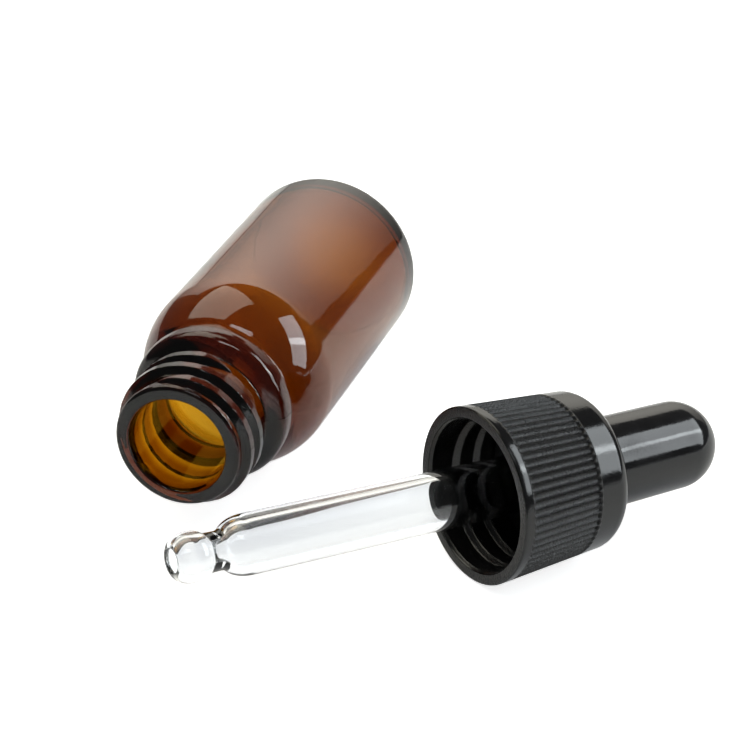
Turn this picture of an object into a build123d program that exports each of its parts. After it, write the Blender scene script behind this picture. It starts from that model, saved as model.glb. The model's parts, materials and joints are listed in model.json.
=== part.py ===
from build123d import *
import os
from math import atan, cos, degrees, radians, sin

# Dropper bottle, lying open: the amber bottle on its side with its mouth towards -Y,
# and the dropper (cap, bulb and pipette) beside it. Millimetres, +Z up.

# ---- Placement ----
bottle_mouth_x, bottle_mouth_y = -23.92, -14.23   # floor point under the centre of the mouth
dropper_rim_x, dropper_rim_y = 12.37, -11.37    # floor position of the centre of the cap's rim
dropper_heading = 38.75        # degrees, from +Y towards +X, pointing from the tip to the bulb
pipette_lift = 1.22            # degrees, how far the pipette leans in its rubber, tip up
pipette_swing = 0.71           # degrees, its lean to the side

# ---- Bottle ----
body_radius = 12.4
bottle_length = 57.2
glass_wall = 1.4
floor_thickness = 2.4
heel_radius = 3.4              # outer corner between body and base
inner_heel_radius = 2.6
push_up = 0.7                  # depth of the hollow in the base
push_up_radius = 8.2
bore_radius = 6.0
bore_length = 11.6
lip_chamfer = 0.35
root_radius = 8.0              # neck between the thread turns
lip_round = 0.55
bead_start, bead_crest, bead_crest_end = 9.0, 11.2, 12.4   # distances from the mouth
bead_radius = 10.15
neck_radius, neck_distance = 9.5, 13.2           # bottom of the groove behind the bead
shoulder_foot = (10.15, 14.3)  # radius and distance where the groove meets the shoulder
shoulder_end = 21.0            # where the shoulder reaches the body radius

# ---- Screw thread, GL 18 ----
pitch = 3.0
thread_section_radius = 0.95   # the glass thread is a half-round ridge
thread_first = 1.48            # distance of the first turn's start from the mouth
thread_start_angle = -102.0    # degrees, local
thread_turns = 2.1
cap_thread_section_radius = 0.6
cap_thread_path_radius = 9.05
cap_thread_first = 3.1
cap_thread_start_angle = 60.0
cap_thread_turns = 1.5

# ---- Screw cap, distances measured from its open rim ----
cap_height = 16.4
rim_radius = 10.75
rim_round = 0.2                # edge rounding; the taper starts above it
rim_band = 1.2
rib_end = 11.6
cap_top_radius = 9.75          # where the shoulder rounding starts
cap_shoulder_round = 2.1
rib_count = 70
rib_depth = 0.32
cap_inside_radius = 9.15
cap_entry_radius = 9.4
seal_depth = 9.3               # rim to the rubber's sealing face
flange_thickness = 1.8
collar_radius = 7.0            # recess that holds the rubber's base
cap_top_thickness = 1.5
cap_hole_radius = 5.2
cap_taper = (rim_radius - cap_top_radius) / (cap_height - cap_shoulder_round - rim_round)
fit_gap = 0.1                  # between the cap and the rubber

# ---- Rubber bulb ----
bulb_base_radius = 5.6
bulb_end_radius = 5.43
bulb_length = 18.7             # beyond the cap
bulb_wall = 1.55
bulb_seat_end = 18.0           # inner step above the pipette's end
seat_clearance = 0.02

# ---- Glass pipette ----
pipette_radius = 3.5
pipette_bore = 2.45
pipette_top = 17.0             # upper end, distance from the rim towards the bulb
ball_centre = 37.5             # ball tip's centre, distance from the rim the other way
ball_radius = 2.9
tip_neck_radius = 2.25
tip_bore = 1.45
tip_mouth_bore = 1.35
ball_hollow = 2.15             # radius of the space inside the ball
tip_face_distance = 2.35       # from the ball's centre to its open end
tip_neck_distance = 3.6        # from the ball's centre
tip_shoulder_distance = 6.9


def turned(profile):
    """A solid of revolution about local Z from a face drawn in the XZ plane."""
    return revolve(profile, Axis.Z)


def ring_profile(points):
    """A closed face in the XZ plane through (radius, z) points joined by straight lines."""
    return make_face(Plane.XZ * Polyline(*points, close=True))


def helical_ridge(section_radius, path_radius, first_z, start_angle, turns):
    """A half-buried round ridge along a helix, with ball ends."""
    path = Helix(pitch=pitch, height=pitch * turns, radius=path_radius)
    start = path @ 0
    section = Plane(origin=start, z_dir=path % 0) * Circle(section_radius)
    ridge = sweep(section, path=path, is_frenet=True)
    ends = [Pos(*(path @ u)) * Sphere(section_radius) for u in (0, 1)]
    placed = Pos(0, 0, first_z) * Rot(0, 0, start_angle)
    return placed * (ridge + ends[0] + ends[1])


def bottle_outside():
    """Outer form from the mouth (z = 0) to the base, without the thread."""
    groove = (neck_radius, neck_distance)
    lines = [
        Line((0, 0), (root_radius - lip_round, 0)),
        RadiusArc((root_radius - lip_round, 0), (root_radius, lip_round), -lip_round),
        Line((root_radius, lip_round), (root_radius, bead_start)),
        Bezier((root_radius, bead_start), (root_radius + 0.1, bead_start + 0.6),
               (bead_radius, bead_crest - 1.7), (bead_radius, bead_crest)),
        Line((bead_radius, bead_crest), (bead_radius, bead_crest_end)),
        Bezier((bead_radius, bead_crest_end), (bead_radius, bead_crest_end + 0.6),
               (neck_radius, neck_distance - 0.4), groove),
        Bezier(groove, (neck_radius, neck_distance + 0.4),
               (shoulder_foot[0] - 0.4, shoulder_foot[1] - 0.38), shoulder_foot),
        Bezier(shoulder_foot, (body_radius - 0.35, shoulder_end - 4.1),
               (body_radius, shoulder_end - 1.1), (body_radius, shoulder_end)),
        Line((body_radius, shoulder_end), (body_radius, bottle_length - heel_radius)),
        RadiusArc((body_radius, bottle_length - heel_radius),
                  (body_radius - heel_radius, bottle_length), -heel_radius),
        Line((body_radius - heel_radius, bottle_length), (push_up_radius, bottle_length)),
        Spline((push_up_radius, bottle_length), (0, bottle_length - push_up),
               tangents=((-0.8, -0.3), (-1, 0))),
        Line((0, bottle_length - push_up), (0, 0)),
    ]
    return turned(make_face(Plane.XZ * Wire(lines)))


def bottle_inside():
    """The space inside the glass: chamfered bore, flared shoulder and body."""
    inner_radius = body_radius - glass_wall
    floor = bottle_length - floor_thickness
    body_start = shoulder_end + 1.5
    lines = [
        Line((0, -1), (bore_radius + lip_chamfer + 1, -1)),
        Line((bore_radius + lip_chamfer + 1, -1), (bore_radius, lip_chamfer)),
        Line((bore_radius, lip_chamfer), (bore_radius, bore_length)),
        Bezier((bore_radius, bore_length), (bore_radius + 0.3, bore_length + 2.4),
               (inner_radius, body_start - 4.0), (inner_radius, body_start)),
        Line((inner_radius, body_start), (inner_radius, floor - inner_heel_radius)),
        RadiusArc((inner_radius, floor - inner_heel_radius),
                  (inner_radius - inner_heel_radius, floor), -inner_heel_radius),
        Line((inner_radius - inner_heel_radius, floor), (0, floor)),
        Line((0, floor), (0, -1)),
    ]
    return turned(make_face(Plane.XZ * Wire(lines)))


def make_bottle():
    thread = helical_ridge(thread_section_radius, root_radius - 0.03, thread_first,
                           thread_start_angle, thread_turns)
    return bottle_outside() + thread - bottle_inside()


def cone_radius(z):
    """Radius of the cap's tapered wall at distance z from the rim."""
    return rim_radius - cap_taper * (z - rim_round)


def rib_ring(z):
    """Outline of the ribs at distance z: flat-topped ribs with narrower roots between them."""
    crest = cone_radius(z)
    root = crest - rib_depth
    points = []
    for rib in range(rib_count):
        for share, radius in ((0.0, root), (0.22, root), (0.44, crest), (0.78, crest)):
            angle = radians(360 * (rib + share) / rib_count)
            points.append((radius * cos(angle), radius * sin(angle), z))
    return Wire(Polyline(*points, close=True))


def cap_outside():
    root_low, root_high = (cone_radius(z) - rib_depth - 0.01 for z in (rim_band, rib_end))
    straight_end = cap_height - cap_shoulder_round
    lines = [
        Line((0, 0), (rim_radius - rim_round, 0)),
        RadiusArc((rim_radius - rim_round, 0), (rim_radius, rim_round), -rim_round),
        Line((rim_radius, rim_round), (cone_radius(rim_band), rim_band)),
        Line((cone_radius(rim_band), rim_band), (root_low, rim_band)),
        Line((root_low, rim_band), (root_high, rib_end)),
        Line((root_high, rib_end), (cone_radius(rib_end), rib_end)),
        Line((cone_radius(rib_end), rib_end), (cap_top_radius, straight_end)),
        RadiusArc((cap_top_radius, straight_end),
                  (cap_top_radius - cap_shoulder_round, cap_height), -cap_shoulder_round),
        Line((cap_top_radius - cap_shoulder_round, cap_height), (0, cap_height)),
        Line((0, cap_height), (0, 0)),
    ]
    body = turned(make_face(Plane.XZ * Wire(lines)))
    ribs = Solid.make_loft([rib_ring(rim_band), rib_ring(rib_end)], ruled=True)
    return body + ribs


def cap_inside():
    """Threaded hollow, flange seat, collar and the hole in the top."""
    ceiling = seal_depth + flange_thickness + fit_gap
    plate = cap_height - cap_top_thickness
    return turned(ring_profile([
        (0, -1), (cap_entry_radius, -1), (cap_entry_radius, 0.05), (cap_inside_radius, 0.35),
        (cap_inside_radius, ceiling), (collar_radius, ceiling), (collar_radius, plate),
        (cap_hole_radius, plate), (cap_hole_radius, cap_height + 1), (0, cap_height + 1),
    ]))


def make_cap():
    thread = helical_ridge(cap_thread_section_radius, cap_thread_path_radius, cap_thread_first,
                           cap_thread_start_angle, cap_thread_turns)
    return cap_outside() - cap_inside() + thread


def leaning(shape):
    """Turn a shape about the centre of the cap's top to the pipette's own axis."""
    pivot = Pos(0, 0, cap_height)
    return pivot * Rot(-pipette_lift, pipette_swing, 0) * pivot.inverse() * shape


def make_bulb():
    """Flange, base and bulb in one piece of rubber, hollow above the pipette."""
    top = cap_height + bulb_length
    plate = cap_height - cap_top_thickness
    dome_start = top - bulb_end_radius
    flange_radius = cap_inside_radius - 0.25
    outside = [
        Line((0, seal_depth), (flange_radius, seal_depth)),
        Line((flange_radius, seal_depth), (flange_radius, seal_depth + flange_thickness)),
        Line((flange_radius, seal_depth + flange_thickness),
             (collar_radius - fit_gap, seal_depth + flange_thickness)),
        Line((collar_radius - fit_gap, seal_depth + flange_thickness),
             (collar_radius - fit_gap, plate - fit_gap)),
        Line((collar_radius - fit_gap, plate - fit_gap), (cap_hole_radius - fit_gap, plate - fit_gap)),
        Line((cap_hole_radius - fit_gap, plate - fit_gap),
             (cap_hole_radius - fit_gap, cap_height + fit_gap)),
        Line((cap_hole_radius - fit_gap, cap_height + fit_gap),
             (bulb_base_radius, cap_height + fit_gap)),
        Line((bulb_base_radius, cap_height + fit_gap), (bulb_end_radius, dome_start)),
        RadiusArc((bulb_end_radius, dome_start), (0, top), -bulb_end_radius),
        Line((0, top), (0, seal_depth)),
    ]
    inner_radius = bulb_end_radius - bulb_wall
    hollow = [
        Line((0, bulb_seat_end), (inner_radius, bulb_seat_end)),
        Line((inner_radius, bulb_seat_end), (inner_radius, dome_start)),
        RadiusArc((inner_radius, dome_start), (0, dome_start + inner_radius), -inner_radius),
        Line((0, dome_start + inner_radius), (0, bulb_seat_end)),
    ]
    seat_length = bulb_seat_end - seal_depth + 2
    seat = Cylinder(pipette_radius + seat_clearance, seat_length)
    seat = Pos(0, 0, seal_depth - 1 + seat_length / 2) * seat
    rubber = turned(make_face(Plane.XZ * Wire(outside)))
    return rubber - turned(make_face(Plane.XZ * Wire(hollow))) - leaning(seat)


def make_pipette():
    """Tube, shoulder, narrow neck and hollow ball tip, open right through."""
    centre = -ball_centre
    neck = centre + tip_neck_distance
    shoulder = centre + tip_shoulder_distance
    face = centre - tip_face_distance
    tip_face = (tip_mouth_bore + 0.33, face)
    outside = [
        Line((0, pipette_top), (pipette_radius, pipette_top)),
        Line((pipette_radius, pipette_top), (pipette_radius, shoulder)),
        Spline((pipette_radius, shoulder), (tip_neck_radius, neck), tangents=((0, -1), (0, -1)),
               tangent_scalars=(1.3, 0.5)),
        Spline((tip_neck_radius, neck), (ball_radius, centre), tangents=((0, -1), (0, -1))),
        Spline((ball_radius, centre), tip_face, tangents=((0, -1), (-0.85, -0.5))),
        Line(tip_face, (0, face)),
        Line((0, face), (0, pipette_top)),
    ]
    bore_end = centre + tip_shoulder_distance - 1.4
    bore = [
        Line((0, pipette_top + 1), (pipette_bore, pipette_top + 1)),
        Line((pipette_bore, pipette_top + 1), (pipette_bore, bore_end)),
        Spline((pipette_bore, bore_end), (tip_bore, neck), tangents=((0, -1), (0, -1))),
        Spline((tip_bore, neck), (ball_hollow, centre), tangents=((0, -1), (0, -1))),
        Spline((ball_hollow, centre), (tip_mouth_bore, face), tangents=((0, -1), (-0.3, -1))),
        Line((tip_mouth_bore, face), (tip_mouth_bore, face - 1)),
        Line((tip_mouth_bore, face - 1), (0, face - 1)),
        Line((0, face - 1), (0, pipette_top + 1)),
    ]
    tube = turned(make_face(Plane.XZ * Wire(outside))) - turned(make_face(Plane.XZ * Wire(bore)))
    return leaning(tube)


def lay_bottle(shape):
    """Local +Z (mouth to base) becomes +Y, resting on the body's side."""
    return Pos(bottle_mouth_x, bottle_mouth_y, body_radius) * Rot(-90, 0, 0) * shape


def lay_dropper(shape):
    """The dropper rests on the cap's tapered side, so its bulb end dips a little."""
    dip = atan(cap_taper)
    height = rim_radius * cos(dip) + rim_round * sin(dip)
    heading = Rot(0, 0, -dropper_heading)
    return Pos(dropper_rim_x, dropper_rim_y, height) * heading * Rot(-90 - degrees(dip), 0, 0) * shape


nodes = {
    "bottle": lay_bottle(make_bottle()),
    "screw_cap": lay_dropper(make_cap()),
    "rubber_bulb": lay_dropper(make_bulb()),
    "glass_pipette": lay_dropper(make_pipette()),
}
os.makedirs("parts", exist_ok=True)
for name, shape in nodes.items():
    export_step(shape, f"parts/{name}.step")
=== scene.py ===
import json
from math import pi, radians

import bpy
import numpy as np
from mathutils import Matrix, Quaternion, Vector


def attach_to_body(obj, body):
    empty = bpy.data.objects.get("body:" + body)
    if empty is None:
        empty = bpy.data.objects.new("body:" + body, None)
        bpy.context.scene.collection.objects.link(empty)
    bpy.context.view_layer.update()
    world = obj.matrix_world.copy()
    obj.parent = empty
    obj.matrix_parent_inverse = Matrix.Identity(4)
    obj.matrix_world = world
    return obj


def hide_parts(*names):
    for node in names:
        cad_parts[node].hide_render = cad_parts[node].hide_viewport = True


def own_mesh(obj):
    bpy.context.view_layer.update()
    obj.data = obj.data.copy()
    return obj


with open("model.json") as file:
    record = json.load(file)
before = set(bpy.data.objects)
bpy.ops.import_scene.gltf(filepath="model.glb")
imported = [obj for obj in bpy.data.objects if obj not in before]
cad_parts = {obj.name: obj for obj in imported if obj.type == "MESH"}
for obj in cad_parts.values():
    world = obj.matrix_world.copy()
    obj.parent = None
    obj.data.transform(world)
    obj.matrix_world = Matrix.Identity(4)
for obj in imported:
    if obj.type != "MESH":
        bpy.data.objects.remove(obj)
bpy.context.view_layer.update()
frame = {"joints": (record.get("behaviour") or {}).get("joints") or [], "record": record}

# An open dropper bottle: amber glass bottle on its side, and its cap, rubber bulb and glass
# pipette beside it. Shapes are in millimetres in each piece's own frame, whose +Z is its axis.
MM = 0.001

# ---- Bottle, z measured from the mouth ----
BODY_RADIUS = 12.4
BOTTLE_LENGTH = 57.2
GLASS_WALL = 1.4
FLOOR_THICKNESS = 2.4
HEEL_RADIUS = 3.4
INNER_HEEL_RADIUS = 2.6
PUSH_UP = 0.7
PUSH_UP_RADIUS = 8.2
BORE_RADIUS = 6.0
BORE_LENGTH = 11.6
ROOT_RADIUS = 8.0
LIP_ROUND = 0.55
BORE_ROUND = 0.5
BEAD_START = 9.0
BEAD_CREST = 11.2
BEAD_CREST_END = 12.4
BEAD_RADIUS = 10.15
NECK_Z = 13.2                  # bottom of the groove behind the bead
NECK_RADIUS = 9.5
SHOULDER_FOOT = (10.15, 14.3)
SHOULDER_END = 21.0
INNER_SHOULDER_END = 22.5
PITCH = 3.0
THREAD_START = 1.41            # z of the first turn's tip
THREAD_START_ANGLE = -110.0    # degrees about the bottle's axis
THREAD_TURNS = 2.144
THREAD_HEIGHT = 0.92
THREAD_HALF_WIDTH = 1.15
THREAD_TOP = 0.55              # half width of the ridge's crest
THREAD_TAPER = 0.072           # turns over which each end fades
SEAM_ANGLES = (-1.0, 181.0)    # the mould's parting line, degrees
SEAM_HEIGHT = 0.045
SEAM_WIDTH = 0.35              # degrees

# ---- Cap, z measured from its open rim ----
CAP_HEIGHT = 16.4
RIM_RADIUS = 10.75
RIM_ROUND = 0.2
RIM_BAND = 1.2
RIB_END = 11.6
CAP_TOP_RADIUS = 9.75
CAP_SHOULDER_ROUND = 2.1
RIB_COUNT = 70
RIB_DEPTH = 0.34
CAP_INSIDE_RADIUS = 9.15
CAP_ENTRY_RADIUS = 9.4
SEAL_DEPTH = 9.3
FLANGE_THICKNESS = 1.8
COLLAR_RADIUS = 7.0
CAP_TOP_THICKNESS = 1.5
CAP_HOLE_RADIUS = 5.2
FIT_GAP = 0.1
CAP_THREAD_START = 3.1
CAP_THREAD_ANGLE = 60.0
CAP_THREAD_TURNS = 1.5
CAP_THREAD_HEIGHT = 0.7
CAP_THREAD_HALF_WIDTH = 0.75
CAP_THREAD_TOP = 0.12
CAP_THREAD_TAPER = 0.05
INSIDE_GRAIN = 0.4             # the ribs' grain is 1

# ---- Bulb and pipette, in the cap's frame ----
BULB_BASE_RADIUS = 5.6
BULB_END_RADIUS = 5.43
BULB_LENGTH = 18.7
BULB_WALL = 1.55
PIPETTE_RADIUS = 3.5
PIPETTE_BORE = 2.45
PIPETTE_TOP = 17.0
BALL_CENTRE = 37.5
BALL_RADIUS = 2.9
TIP_NECK_RADIUS = 2.25
TIP_NECK_BORE = 1.45
BALL_HOLLOW = 2.15
TIP_BORE = 1.35
TIP_FACE = 2.35                # from the ball's centre to its open end
PIPETTE_LIFT = 1.22            # degrees, the pipette leans in its rubber
PIPETTE_SWING = 0.71


# ---------------------------------------------------------------- frames
def axis_frame(origin, axis):
    """A frame at origin whose +Z is axis and whose +X is level, on the axis's right-hand side."""
    z = Vector(axis).normalized()
    x = z.cross(Vector((0, 0, 1))).normalized()
    y = z.cross(x)
    return Matrix.Translation(Vector(origin)) @ Matrix((x, y, z)).transposed().to_4x4()


def named(items, name):
    return next(item for item in items if item["name"] == name)


mouth = named(frame["record"]["mounts"], "neck_thread")
cap_turn = named(frame["joints"], "cap_turn")
bottle_frame = axis_frame(mouth["pos_m"], -Vector(mouth["axis"]))
dropper_frame = axis_frame(cap_turn["pos_m"], cap_turn["axis"])
cap_top = dropper_frame @ Vector((0, 0, CAP_HEIGHT * MM))
lean = Matrix.Rotation(radians(-PIPETTE_LIFT), 4, "X") @ Matrix.Rotation(radians(PIPETTE_SWING), 4, "Y")
to_top = Matrix.Translation((0, 0, CAP_HEIGHT * MM))
pipette_frame = dropper_frame @ to_top @ lean @ to_top.inverted()


# ---------------------------------------------------------------- mesh building
class Outline:
    """A profile of (radius, z) points in millimetres, drawn from point to point."""

    def __init__(self, radius, z):
        self.points = [(radius, z)]

    def line(self, radius, z, steps=1):
        r0, z0 = self.points[-1]
        for k in range(1, steps + 1):
            share = k / steps
            self.points.append((r0 + (radius - r0) * share, z0 + (z - z0) * share))
        return self

    def curve(self, handle_a, handle_b, end, steps=12):
        start = self.points[-1]
        for k in range(1, steps + 1):
            u = k / steps
            v = 1 - u
            weights = (v * v * v, 3 * v * v * u, 3 * v * u * u, u * u * u)
            corners = (start, handle_a, handle_b, end)
            radius = sum(w * c[0] for w, c in zip(weights, corners))
            z = sum(w * c[1] for w, c in zip(weights, corners))
            self.points.append((radius, z))
        return self

    def corner(self, corner, end, steps=6):
        """A quarter of an ellipse that rounds off the corner."""
        start = self.points[-1]
        reach = 0.5523
        a = tuple(s + reach * (c - s) for s, c in zip(start, corner))
        b = tuple(e + reach * (c - e) for e, c in zip(end, corner))
        return self.curve(a, b, end, steps)


class Skin:
    """Collects rings of vertices about local Z and the faces between them."""

    def __init__(self):
        self.vertices = []
        self.faces = []

    def ring(self, radii, heights, angles):
        first = len(self.vertices)
        if np.isscalar(radii) and radii < 1e-6:
            self.vertices.append((0.0, 0.0, float(np.mean(heights))))
            return [first]
        radii = np.broadcast_to(radii, angles.shape)
        heights = np.broadcast_to(heights, angles.shape)
        points = np.stack([radii * np.cos(angles), radii * np.sin(angles), heights], axis=1)
        self.vertices.extend(map(tuple, points.tolist()))
        return list(range(first, first + len(angles)))

    def join(self, a, b):
        """Faces between two rings; one may be a pole, or have a multiple of the other's points."""
        if len(a) < len(b):
            a, b = b, a
            backwards = True
        else:
            backwards = False
        step = len(a) // len(b)
        for k in range(len(b)):
            outer = [a[(k * step + j) % len(a)] for j in range(step + 1)]
            if len(b) == 1:
                self.add([[a[j], a[(j + 1) % len(a)], b[0]] for j in range(len(a))], backwards)
                return
            self.add([outer + [b[(k + 1) % len(b)], b[k]]], backwards)

    def add(self, faces, backwards):
        self.faces.extend([face[::-1] for face in faces] if backwards else faces)

    def strip(self, outline, angles, relief=None):
        """Rings along an outline, joined in order; relief(radius, z, angles) gives radii and heights."""
        rings = []
        for radius, z in outline.points:
            shape = relief(radius, z, angles) if relief and radius > 0 else (radius, z)
            rings.append(self.ring(shape[0], shape[1], angles))
        for a, b in zip(rings, rings[1:]):
            self.join(a, b)
        return rings

    def make(self, name, place, material, sharp=40):
        mesh = bpy.data.meshes.new(name)
        local = np.array(self.vertices) * MM
        turn = np.array(place)
        vertices = local @ turn[:3, :3].T + turn[:3, 3]
        mesh.from_pydata(vertices.tolist(), [], self.faces)
        if signed_volume(mesh, vertices) < 0:
            mesh.flip_normals()
        mesh.shade_smooth()
        mesh.set_sharp_from_angle(angle=radians(sharp))
        mesh.materials.append(material)
        attribute = mesh.attributes.new("local", "FLOAT_VECTOR", "POINT")
        attribute.data.foreach_set("vector", local.astype(np.float32).ravel())
        piece = bpy.data.objects.new(name, mesh)
        bpy.context.scene.collection.objects.link(piece)
        return piece


def signed_volume(mesh, vertices):
    """Six times the volume that the faces enclose, negative where they point inwards."""
    mesh.calc_loop_triangles()
    corners = np.zeros(len(mesh.loop_triangles) * 3, np.int32)
    mesh.loop_triangles.foreach_get("vertices", corners)
    a, b, c = (vertices[corners[k::3]] for k in range(3))
    return float(np.einsum("ij,ij->i", a, np.cross(b, c)).sum())


def even_angles(count):
    return np.arange(count) * 2 * np.pi / count


def smooth_step(x):
    x = np.clip(x, 0, 1)
    return x * x * (3 - 2 * x)


def thread_height(z, angles, start_z, start_angle, turns, taper, height, half_width, top):
    """How far a screw thread's ridge stands out at height z, for each angle."""
    total = np.zeros_like(angles)
    for turn in range(int(turns) + 2):
        along = ((np.degrees(angles) - start_angle) % 360) / 360 + turn
        inside = (along >= 0) & (along <= turns)
        fade = np.clip(np.minimum(along, turns - along) / taper, 1e-3, 1)
        offset = np.abs(z - start_z - PITCH * along)
        width = half_width * fade ** 0.8
        crest = top * fade
        rise = np.clip((width - offset) / (width - crest), 0, 1)
        ridge = height * fade ** 0.6 * (0.65 * rise + 0.35 * smooth_step(rise))
        total = np.maximum(total, np.where(inside, ridge, 0))
    return total


# ---------------------------------------------------------------- bottle
def bottle_angles():
    """Even steps, with extra ones across the two parting lines."""
    fine = [seam + step for seam in SEAM_ANGLES for step in (-0.7, -0.45, -0.25, 0, 0.25, 0.45, 0.7)]
    coarse = [a for a in np.arange(0, 360, 1.2) if min(abs((a - f + 180) % 360 - 180) for f in fine) > 0.3]
    return np.radians(np.sort(np.array(coarse + [f % 360 for f in fine])))


def bottle_outline():
    base = BOTTLE_LENGTH
    pen = Outline(0, base - PUSH_UP)
    pen.line(3, base - PUSH_UP + 0.01, 3)
    pen.curve((5.5, base - PUSH_UP + 0.05), (PUSH_UP_RADIUS - 1.2, base - 0.1), (PUSH_UP_RADIUS, base), 10)
    pen.line(BODY_RADIUS - HEEL_RADIUS, base, 3)
    pen.corner((BODY_RADIUS, base), (BODY_RADIUS, base - HEEL_RADIUS), 14)
    pen.line(BODY_RADIUS, SHOULDER_END, 12)
    foot_radius, foot_z = SHOULDER_FOOT
    pen.curve((BODY_RADIUS, SHOULDER_END - 1.1), (BODY_RADIUS - 0.35, SHOULDER_END - 4.1), SHOULDER_FOOT, 28)
    pen.curve((foot_radius - 0.4, foot_z - 0.38), (NECK_RADIUS, NECK_Z + 0.4), (NECK_RADIUS, NECK_Z), 7)
    pen.curve((NECK_RADIUS, NECK_Z - 0.4), (BEAD_RADIUS, BEAD_CREST_END + 0.6),
              (BEAD_RADIUS, BEAD_CREST_END), 8)
    pen.line(BEAD_RADIUS, BEAD_CREST, 3)
    pen.curve((BEAD_RADIUS, BEAD_CREST - 1.7), (ROOT_RADIUS + 0.1, BEAD_START + 0.6),
              (ROOT_RADIUS, BEAD_START), 14)
    pen.line(ROOT_RADIUS, LIP_ROUND, 88)
    pen.corner((ROOT_RADIUS, 0), (ROOT_RADIUS - LIP_ROUND, 0), 8)
    pen.line(BORE_RADIUS + BORE_ROUND, 0, 3)
    pen.corner((BORE_RADIUS + 0.08, 0), (BORE_RADIUS, 1.1), 9)
    pen.line(BORE_RADIUS, BORE_LENGTH, 14)
    inner = BODY_RADIUS - GLASS_WALL
    floor = BOTTLE_LENGTH - FLOOR_THICKNESS
    pen.curve((BORE_RADIUS + 0.3, BORE_LENGTH + 2.4), (inner, INNER_SHOULDER_END - 4),
              (inner, INNER_SHOULDER_END), 22)
    pen.line(inner, floor - INNER_HEEL_RADIUS, 12)
    pen.corner((inner, floor), (inner - INNER_HEEL_RADIUS, floor), 10)
    pen.line(0, floor + 0.35, 6)
    return pen


def bottle_relief(radius, z, angles):
    """Thread and the mould's parting line on the outside of the neck."""
    outside_neck = ROOT_RADIUS - 0.01 <= radius and z < NECK_Z
    if outside_neck:
        radius = radius + thread_height(z, angles, THREAD_START, THREAD_START_ANGLE, THREAD_TURNS,
                                        THREAD_TAPER, THREAD_HEIGHT, THREAD_HALF_WIDTH, THREAD_TOP)
    if outside_neck and z > LIP_ROUND:
        for seam in SEAM_ANGLES:
            away = (np.degrees(angles) - seam + 180) % 360 - 180
            radius = radius + SEAM_HEIGHT * np.exp(-(away / SEAM_WIDTH) ** 2)
    return radius, z


def make_bottle():
    skin = Skin()
    skin.strip(bottle_outline(), bottle_angles(), bottle_relief)
    return skin.make("amber_bottle", bottle_frame, amber_glass())


# ---------------------------------------------------------------- cap
def cone_radius(z):
    taper = (RIM_RADIUS - CAP_TOP_RADIUS) / (CAP_HEIGHT - CAP_SHOULDER_ROUND - RIM_ROUND)
    return RIM_RADIUS - taper * (z - RIM_ROUND)


def cap_outline():
    """From the top face over the shoulder and down the ribs to the rim's face."""
    straight_end = CAP_HEIGHT - CAP_SHOULDER_ROUND
    pen = Outline(CAP_TOP_RADIUS - CAP_SHOULDER_ROUND, CAP_HEIGHT)
    pen.corner((CAP_TOP_RADIUS, CAP_HEIGHT), (CAP_TOP_RADIUS, straight_end), 12)
    pen.line(cone_radius(RIB_END + 0.2), RIB_END + 0.2, 3)
    pen.line(cone_radius(RIB_END - 1.0), RIB_END - 1.0, 14)
    pen.line(cone_radius(RIM_BAND + 0.7), RIM_BAND + 0.7, 5)
    pen.line(cone_radius(RIM_BAND - 0.1), RIM_BAND - 0.1, 9)
    pen.line(RIM_RADIUS, RIM_ROUND, 2)
    pen.corner((RIM_RADIUS, 0), (RIM_RADIUS - RIM_ROUND, 0), 5)
    return pen


def rib_relief(radius, z, angles):
    """Grooves between the ribs, with rounded ends."""
    share = (np.degrees(angles) * RIB_COUNT / 360) % 1
    across = np.abs(2 * share - 1)
    groove = 1 - across ** 2.6
    upper = smooth_step((RIB_END - 0.35 * across ** 2 - z) / 0.35)
    lower = smooth_step((z - RIM_BAND - 0.25 * across ** 2) / 0.3)
    return radius - RIB_DEPTH * groove * upper * lower, z


def cap_inner_outline():
    """From the rim's face up the threaded wall to the seat, the recess and the hole in the top."""
    ceiling = SEAL_DEPTH + FLANGE_THICKNESS + FIT_GAP
    plate = CAP_HEIGHT - CAP_TOP_THICKNESS
    pen = Outline(CAP_ENTRY_RADIUS + 0.12, 0)
    pen.corner((CAP_ENTRY_RADIUS, 0), (CAP_ENTRY_RADIUS, 0.12), 4)
    pen.line(CAP_INSIDE_RADIUS, 0.4, 3)
    pen.line(CAP_INSIDE_RADIUS, 9.0, 72)
    pen.line(CAP_INSIDE_RADIUS, ceiling, 3)
    pen.line(COLLAR_RADIUS, ceiling, 3)
    pen.line(COLLAR_RADIUS, plate, 4)
    pen.line(CAP_HOLE_RADIUS, plate, 3)
    pen.line(CAP_HOLE_RADIUS, CAP_HEIGHT - 0.15, 3)
    pen.corner((CAP_HOLE_RADIUS, CAP_HEIGHT), (CAP_HOLE_RADIUS + 0.15, CAP_HEIGHT), 4)
    return pen


def cap_thread_relief(radius, z, angles):
    if abs(radius - CAP_INSIDE_RADIUS) < 0.01 and z < SEAL_DEPTH:
        radius = radius - thread_height(z, angles, CAP_THREAD_START, CAP_THREAD_ANGLE, CAP_THREAD_TURNS,
                                        CAP_THREAD_TAPER, CAP_THREAD_HEIGHT, CAP_THREAD_HALF_WIDTH,
                                        CAP_THREAD_TOP)
    return radius, z


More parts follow.
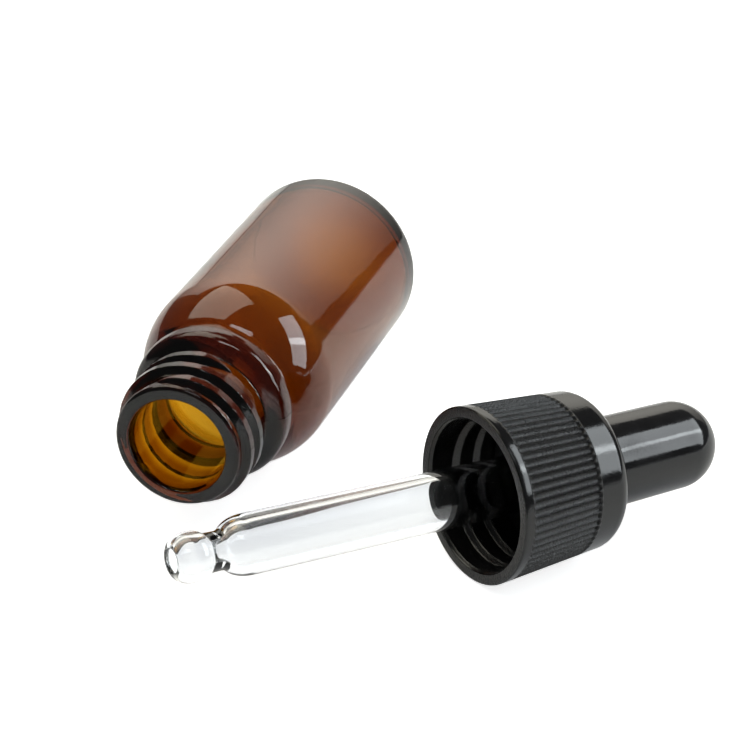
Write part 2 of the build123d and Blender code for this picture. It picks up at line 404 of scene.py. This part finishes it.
def make_cap():
    skin = Skin()
    outer = skin.strip(cap_outline(), even_angles(12 * RIB_COUNT), rib_relief)
    inner = skin.strip(cap_inner_outline(), even_angles(4 * RIB_COUNT), cap_thread_relief)
    skin.join(outer[-1], inner[0])
    skin.join(inner[-1], outer[0])
    cap = skin.make("ribbed_cap", dropper_frame, black_plastic(), sharp=50)
    points = np.array(skin.vertices)
    radius = np.hypot(points[:, 0], points[:, 1])
    z = points[:, 2]
    ribs = (radius > CAP_INSIDE_RADIUS + 0.2) & (z > RIM_BAND) & (z < RIB_END)
    face = (z < 0.01) & (radius < RIM_RADIUS - RIM_ROUND + 0.01)
    inside = (radius < CAP_ENTRY_RADIUS + 0.05) & (z > 0.2) & (z < CAP_HEIGHT - CAP_TOP_THICKNESS)
    amount = np.where(ribs | face, 1.0, np.where(inside, INSIDE_GRAIN, 0.0))
    grain = cap.data.attributes.new("grain", "FLOAT", "POINT")
    grain.data.foreach_set("value", amount.astype(np.float32))
    return cap


# ---------------------------------------------------------------- bulb
def bulb_outline():
    """The bulb above the cap: from the end of the dome down, and back up inside."""
    top = CAP_HEIGHT + BULB_LENGTH
    foot = CAP_HEIGHT + FIT_GAP
    dome = top - BULB_END_RADIUS
    inner = BULB_END_RADIUS - BULB_WALL
    pen = Outline(0, top)
    pen.corner((BULB_END_RADIUS, top), (BULB_END_RADIUS, dome), 26)
    pen.line(BULB_BASE_RADIUS, foot + 0.2, 12)
    pen.corner((BULB_BASE_RADIUS, foot), (BULB_BASE_RADIUS - 0.2, foot), 5)
    pen.line(PIPETTE_RADIUS + 0.08, foot, 3)
    pen.line(PIPETTE_RADIUS + 0.08, 18.0, 2)
    pen.line(inner, 18.0, 1)
    pen.line(inner, dome, 6)
    pen.corner((inner, dome + inner), (0, dome + inner), 12)
    return pen


def bulb_base_outline():
    """Sealing flange and neck, held inside the cap; a closed loop."""
    plate = CAP_HEIGHT - CAP_TOP_THICKNESS
    flange = CAP_INSIDE_RADIUS - 0.25
    hole = PIPETTE_RADIUS + 0.3
    neck = CAP_HOLE_RADIUS - FIT_GAP
    pen = Outline(hole, SEAL_DEPTH)
    pen.line(flange - 0.2, SEAL_DEPTH, 6)
    pen.corner((flange, SEAL_DEPTH), (flange, SEAL_DEPTH + 0.2), 4)
    pen.line(flange, SEAL_DEPTH + FLANGE_THICKNESS, 2)
    pen.line(COLLAR_RADIUS - FIT_GAP, SEAL_DEPTH + FLANGE_THICKNESS, 2)
    pen.line(COLLAR_RADIUS - FIT_GAP, plate - FIT_GAP, 2)
    pen.line(neck, plate - FIT_GAP, 2)
    pen.line(neck, CAP_HEIGHT + FIT_GAP - 0.01, 2)
    pen.line(hole, CAP_HEIGHT + FIT_GAP - 0.01, 2)
    return pen


def make_bulb():
    rubber = black_rubber()
    skin = Skin()
    skin.strip(bulb_outline(), even_angles(144))
    bulb = skin.make("bulb", dropper_frame, rubber)
    base_skin = Skin()
    rings = base_skin.strip(bulb_base_outline(), even_angles(144))
    base_skin.join(rings[-1], rings[0])
    return bulb, base_skin.make("bulb_base", dropper_frame, rubber)


# ---------------------------------------------------------------- pipette
def pipette_outline():
    """Closed loop: up the outside from the tip, round the upper end and back down the bore."""
    centre = -BALL_CENTRE
    tip = centre - TIP_FACE
    pen = Outline(TIP_BORE, tip + 0.2)
    pen.corner((TIP_BORE, tip), (TIP_BORE + 0.18, tip), 5)
    pen.curve((TIP_BORE + 0.9, tip + 0.1), (BALL_RADIUS, centre - 1.5), (BALL_RADIUS, centre), 20)
    pen.curve((BALL_RADIUS, centre + 0.95), (2.64, centre + 1.35), (2.44, centre + 1.66), 9)
    pen.curve((2.3, centre + 1.88), (TIP_NECK_RADIUS, centre + 2.2), (TIP_NECK_RADIUS, centre + 3.5), 9)
    pen.curve((TIP_NECK_RADIUS, centre + 4.4), (PIPETTE_RADIUS - 0.15, centre + 4.4),
              (PIPETTE_RADIUS, centre + 6.9), 16)
    pen.line(PIPETTE_RADIUS, PIPETTE_TOP - 0.3, 30)
    pen.corner((PIPETTE_RADIUS, PIPETTE_TOP), (PIPETTE_RADIUS - 0.3, PIPETTE_TOP), 5)
    pen.line(PIPETTE_BORE + 0.3, PIPETTE_TOP, 1)
    pen.corner((PIPETTE_BORE, PIPETTE_TOP), (PIPETTE_BORE, PIPETTE_TOP - 0.3), 5)
    pen.line(PIPETTE_BORE, centre + 6.9, 30)
    pen.curve((PIPETTE_BORE, centre + 5.0), (TIP_NECK_BORE, centre + 5.0), (TIP_NECK_BORE, centre + 3.7), 16)
    pen.curve((TIP_NECK_BORE, centre + 2.3), (BALL_HOLLOW, centre + 1.7), (BALL_HOLLOW, centre), 14)
    pen.curve((BALL_HOLLOW, centre - 1.0), (TIP_BORE + 0.1, tip + 0.5), (TIP_BORE, tip + 0.2), 12)
    return pen


def make_pipette():
    skin = Skin()
    outline = pipette_outline()
    outline.points.pop()
    rings = skin.strip(outline, even_angles(144))
    skin.join(rings[-1], rings[0])
    return skin.make("glass_tube", pipette_frame, clear_glass(), sharp=60)


# ---------------------------------------------------------------- materials
class Tree:
    """A node tree of a material, a light or the world, and short ways to add to it."""

    def __init__(self, owner):
        owner.use_nodes = True
        self.tree = owner.node_tree

    def find(self, kind):
        return next(n for n in self.tree.nodes if n.type == kind)

    def add(self, kind):
        return self.tree.nodes.new(kind)

    def link(self, output, socket):
        self.tree.links.new(output, socket)

    def math(self, operation, a, b=0.0):
        node = self.add("ShaderNodeMath")
        node.operation = operation
        for socket, value in zip(node.inputs, (a, b)):
            if isinstance(value, (int, float)):
                socket.default_value = value
            else:
                self.link(value, socket)
        return node.outputs["Value"]

    def ramp(self, value, low, high, to_low, to_high, smooth=False):
        """Value stretched from low..high to to_low..to_high, and clamped."""
        ramp = self.add("ShaderNodeMapRange")
        ramp.interpolation_type = "SMOOTHSTEP" if smooth else "LINEAR"
        for key, number in (("From Min", low), ("From Max", high), ("To Min", to_low), ("To Max", to_high)):
            ramp.inputs[key].default_value = number
        self.link(value, ramp.inputs["Value"])
        return ramp.outputs["Result"]


class Material(Tree):
    """A new material with its Principled BSDF; its patterns follow the piece's own frame."""

    def __init__(self, name):
        self.material = bpy.data.materials.new(name)
        super().__init__(self.material)
        self.bsdf = self.find("BSDF_PRINCIPLED")
        self.output = self.find("OUTPUT_MATERIAL")
        local = self.add("ShaderNodeAttribute")
        local.attribute_name = "local"
        self.place = local.outputs["Vector"]

    def set(self, **values):
        for key, value in values.items():
            self.bsdf.inputs[key.replace("_", " ")].default_value = value

    def noise(self, scale, detail=3.0, roughness=0.5, stretch=(1, 1, 1)):
        """Noise with features about 1 / scale metres across."""
        mapping = self.add("ShaderNodeMapping")
        mapping.inputs["Scale"].default_value = stretch
        self.link(self.place, mapping.inputs["Vector"])
        noise = self.add("ShaderNodeTexNoise")
        noise.inputs["Scale"].default_value = scale
        noise.inputs["Detail"].default_value = detail
        noise.inputs["Roughness"].default_value = roughness
        self.link(mapping.outputs["Vector"], noise.inputs["Vector"])
        return noise.outputs["Fac"]

    def attribute(self, name):
        """A number from 0 to 1 that the mesh holds for each vertex."""
        node = self.add("ShaderNodeAttribute")
        node.attribute_name = name
        return node.outputs["Fac"]

    def distance_to(self, point):
        """Distance in metres from a point."""
        node = self.add("ShaderNodeVectorMath")
        node.operation = "DISTANCE"
        node.inputs[1].default_value = point
        self.link(self.place, node.inputs[0])
        return node.outputs["Value"]

    def bump(self, height, distance, normal=None):
        """Bump of the given full height in metres."""
        node = self.add("ShaderNodeBump")
        node.inputs["Distance"].default_value = distance
        self.link(height, node.inputs["Height"])
        if normal:
            self.link(normal, node.inputs["Normal"])
        return node.outputs["Normal"]

    def mix(self, factor, dark, light):
        node = self.add("ShaderNodeMix")
        node.data_type = "RGBA"
        node.inputs["A"].default_value = (*dark, 1)
        node.inputs["B"].default_value = (*light, 1)
        self.link(factor, node.inputs["Factor"])
        return node.outputs["Result"]

    def absorb(self, colour, density):
        """Light lost inside the glass: density times (1 - colour) for each metre."""
        volume = self.add("ShaderNodeVolumeAbsorption")
        volume.inputs["Color"].default_value = (*colour, 1)
        volume.inputs["Density"].default_value = density
        self.link(volume.outputs["Volume"], self.output.inputs["Volume"])


def amber_glass():
    """Brown moulded glass: coloured through its thickness, faintly wavy, with a few smudges."""
    n = Material("amber_glass")
    n.set(Base_Color=(1, 1, 1, 1), Transmission_Weight=1.0, IOR=1.51)
    smudges = n.ramp(n.noise(140, 4, 0.6), 0.55, 0.75, 0.0, 0.06)
    n.link(smudges, n.bsdf.inputs["Roughness"])
    waves = n.bump(n.noise(110, 1), 0.00006)
    n.link(n.bump(n.noise(700, 2), 0.000004, waves), n.bsdf.inputs["Normal"])
    n.absorb((0.786, 0.638, 0.0), 2800)
    return n.material


def clear_glass():
    """Drawn clear tube glass: faint lines along its length."""
    n = Material("clear_glass")
    n.set(Base_Color=(0.785, 0.795, 0.805, 1), Transmission_Weight=1.0, IOR=1.48)
    smudges = n.ramp(n.noise(180, 3, 0.6), 0.55, 0.8, 0.0, 0.05)
    n.link(smudges, n.bsdf.inputs["Roughness"])
    draw_lines = n.noise(900, 2, 0.5, (1, 1, 0.03))
    n.link(n.bump(draw_lines, 0.000006), n.bsdf.inputs["Normal"])
    n.absorb((0.55, 0.75, 0.72), 12)
    return n.material


def black_plastic():
    """Moulded black plastic: glossy bands, spark-eroded grain on the ribs, the rim's face and inside."""
    n = Material("black_plastic")
    n.set(IOR=1.5)
    grain = n.noise(3400, 3, 0.65)
    blotches = n.ramp(n.noise(330, 3, 0.6), 0.4, 0.7, 0.0, 0.05)
    grained = n.attribute("grain")
    n.link(n.mix(grain, (0.004, 0.004, 0.0043), (0.011, 0.011, 0.012)), n.bsdf.inputs["Base Color"])
    rough = n.math("MULTIPLY", grained, n.ramp(grain, 0.35, 0.7, 0.16, 0.26))
    n.link(n.math("ADD", n.math("ADD", rough, 0.09), blotches), n.bsdf.inputs["Roughness"])
    relief = n.math("MULTIPLY", grain, n.math("ADD", n.math("MULTIPLY", grained, 0.93), 0.07))
    n.link(n.bump(relief, 0.00012), n.bsdf.inputs["Normal"])
    return n.material


def black_rubber():
    """Smooth glossy rubber with a soft bloom."""
    n = Material("black_rubber")
    n.set(IOR=1.5)
    bloom = n.noise(260, 4, 0.6)
    n.link(n.mix(bloom, (0.006, 0.006, 0.0065), (0.013, 0.013, 0.014)), n.bsdf.inputs["Base Color"])
    n.link(n.ramp(bloom, 0.35, 0.75, 0.08, 0.17), n.bsdf.inputs["Roughness"])
    fine = n.bump(n.noise(2600, 2), 0.000006)
    n.link(n.bump(n.noise(160, 1), 0.00006, fine), n.bsdf.inputs["Normal"])
    return n.material


def floor_paper():
    """White paper whose colour darkens far away, painted shade for the unlit far floor; its white is lifted
    to the camera, through glass and in reflections.
    """
    n = Material("floor_paper")
    n.set(Specular_IOR_Level=0.2, Roughness=0.8, Emission_Color=(1, 1, 1, 1))
    n.place = n.add("ShaderNodeTexCoord").outputs["Object"]
    # painted shade: the paper's base colour turns dark far from PAPER_CENTRE, standing in for floor that the
    # lamps don't reach
    painted_far_shade = n.ramp(n.distance_to(PAPER_CENTRE), 0.62, 0.80, 0.0, 1.0)
    n.link(n.mix(painted_far_shade, (0.92, 0.92, 0.925), (0.1, 0.1, 0.1)), n.bsdf.inputs["Base Color"])
    n.link(n.bump(n.noise(900, 3), 0.00002), n.bsdf.inputs["Normal"])
    path = n.add("ShaderNodeLightPath").outputs
    lift = n.ramp(n.distance_to((0, 0, 0)), 0.30, 0.50, LIFT_SEEN, LIFT_SEEN_FAR)
    seen = n.math("MULTIPLY", path["Is Camera Ray"], lift)
    through = n.math("MULTIPLY", path["Is Transmission Ray"], LIFT_THROUGH_GLASS)
    mirrored = n.math("MULTIPLY", path["Is Glossy Ray"], LIFT_MIRRORED)
    n.link(n.math("ADD", seen, n.math("ADD", through, mirrored)), n.bsdf.inputs["Emission Strength"])
    return n.material


# ---------------------------------------------------------------- studio
LIFT_SEEN = 0.80               # white added to the paper where it is looked at directly
LIFT_SEEN_FAR = 1.30
LIFT_THROUGH_GLASS = 0.95
LIFT_MIRRORED = 0.2
PAPER_CENTRE = (-0.25, 0.45, 0)  # metres; the paper's colour darkens away from here, painted shade for the unlit far floor
ROOM_DARK = 0.08
COOL_WHITE = (0.91, 0.97, 1.0)
FILL_WHITE = (1.0, 0.96, 0.8)
BACK_WHITE = (1.0, 0.97, 0.88)
KEY_DIRECTION = (0.80, 0.35, 0.49)
KEY_TURN = -43.0               # degrees, the key leans along the cap


def make_floor():
    reach = 4.0
    mesh = bpy.data.meshes.new("floor")
    corners = [(x * reach, y * reach, 0) for x, y in ((-1, -1), (1, -1), (1, 1), (-1, 1))]
    mesh.from_pydata(corners, [], [(0, 1, 2, 3)])
    mesh.materials.append(floor_paper())
    floor = bpy.data.objects.new("floor", mesh)
    bpy.context.scene.collection.objects.link(floor)


def soft_box(name, direction, distance, width, height, radiance, turn=0.0, colour=(1, 1, 1)):
    """An area light that faces the cap; radiance is how bright it looks, turn rolls it in degrees."""
    aim = Vector(direction).normalized()
    light = bpy.data.lights.new(name, "AREA")
    light.shape = "RECTANGLE"
    light.size = width
    light.size_y = height
    light.energy = pi * width * height * radiance
    light.color = colour
    lamp = bpy.data.objects.new(name, light)
    lamp.location = cap_top + aim * distance
    facing = aim.to_track_quat("Z", "Y") @ Quaternion((0, 0, 1), radians(turn))
    lamp.rotation_euler = facing.to_euler()
    lamp.visible_camera = False
    bpy.context.scene.collection.objects.link(lamp)
    return light


def fade(light, brightest, reach, edge, foot):
    """Full at one share of the light's width, edge at reach to either side of it, foot at its bottom."""
    n = Tree(light)
    place = n.add("ShaderNodeSeparateXYZ")
    n.link(n.add("ShaderNodeNewGeometry").outputs["Parametric"], place.inputs["Vector"])
    away = n.math("ABSOLUTE", n.math("SUBTRACT", place.outputs["X"], brightest))
    sideways = n.ramp(away, 0.0, reach, 1.0, edge, smooth=True)
    upwards = n.ramp(place.outputs["Y"], 0.0, 1.0, foot, 1.0, smooth=True)
    n.link(n.math("MULTIPLY", sideways, upwards), n.find("EMISSION").inputs["Strength"])


def make_world():
    """A dark room; the camera itself sees white behind the paper."""
    world = bpy.data.worlds.new("studio")
    bpy.context.scene.world = world
    n = Tree(world)
    background = n.find("BACKGROUND")
    background.inputs["Color"].default_value = (1, 1, 1, 1)
    seen = n.add("ShaderNodeLightPath").outputs["Is Camera Ray"]
    n.link(n.math("MAXIMUM", seen, ROOM_DARK), background.inputs["Strength"])


def make_camera():
    """The photograph's viewpoint: a long lens, 28 degrees above the floor."""
    mouth_floor = Vector((mouth["pos_m"][0], mouth["pos_m"][1], 0))
    target = mouth_floor + Vector((9.178, 47.375, 0)) * MM
    data = bpy.data.cameras.new("camera")
    data.lens = 124.4
    data.sensor_width = 36
    data.clip_start = 0.01
    camera = bpy.data.objects.new("camera", data)
    camera.location = mouth_floor + Vector((109.09, -249.01, 164.96)) * MM
    camera.rotation_euler = (camera.location - target).to_track_quat("Z", "Y").to_euler()
    bpy.context.scene.collection.objects.link(camera)
    bpy.context.scene.camera = camera


def make_studio():
    make_floor()
    make_world()
    make_camera()
    soft_box("key", KEY_DIRECTION, 0.6, 0.24, 0.58, 4.7, KEY_TURN, COOL_WHITE)
    soft_box("key_core", KEY_DIRECTION, 0.59, 0.24, 0.07, 7.0, KEY_TURN, COOL_WHITE)
    soft_box("fill", (-0.46, 0.25, 0.84), 0.6, 0.48, 0.46, 2.4, colour=FILL_WHITE)
    back = soft_box("back", (-0.16, 0.93, 0.30), 0.9, 1.42, 0.55, 1.9, colour=BACK_WHITE)
    fade(back, brightest=0.6, reach=0.6, edge=0.35, foot=0.35)
    soft_box("front", (0.05, -0.45, 0.89), 0.7, 0.30, 0.12, 5.0, colour=COOL_WHITE)
    scene = bpy.context.scene
    scene.view_settings.view_transform = "Standard"
    scene.cycles.max_bounces = 24
    scene.cycles.transmission_bounces = 24
    scene.cycles.glossy_bounces = 8
    scene.cycles.sample_clamp_indirect = 4.0


# ---------------------------------------------------------------- assembly
def attach(piece, body, node):
    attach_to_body(piece, body)
    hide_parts(node)


make_studio()
attach(make_bottle(), "bottle", "bottle")
attach(make_cap(), "cap", "screw_cap")
attach(make_pipette(), "dropper", "glass_pipette")
bulb, bulb_base = make_bulb()
for part in (bulb, bulb_base):
    attach(part, "dropper", "rubber_bulb")
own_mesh(bulb)
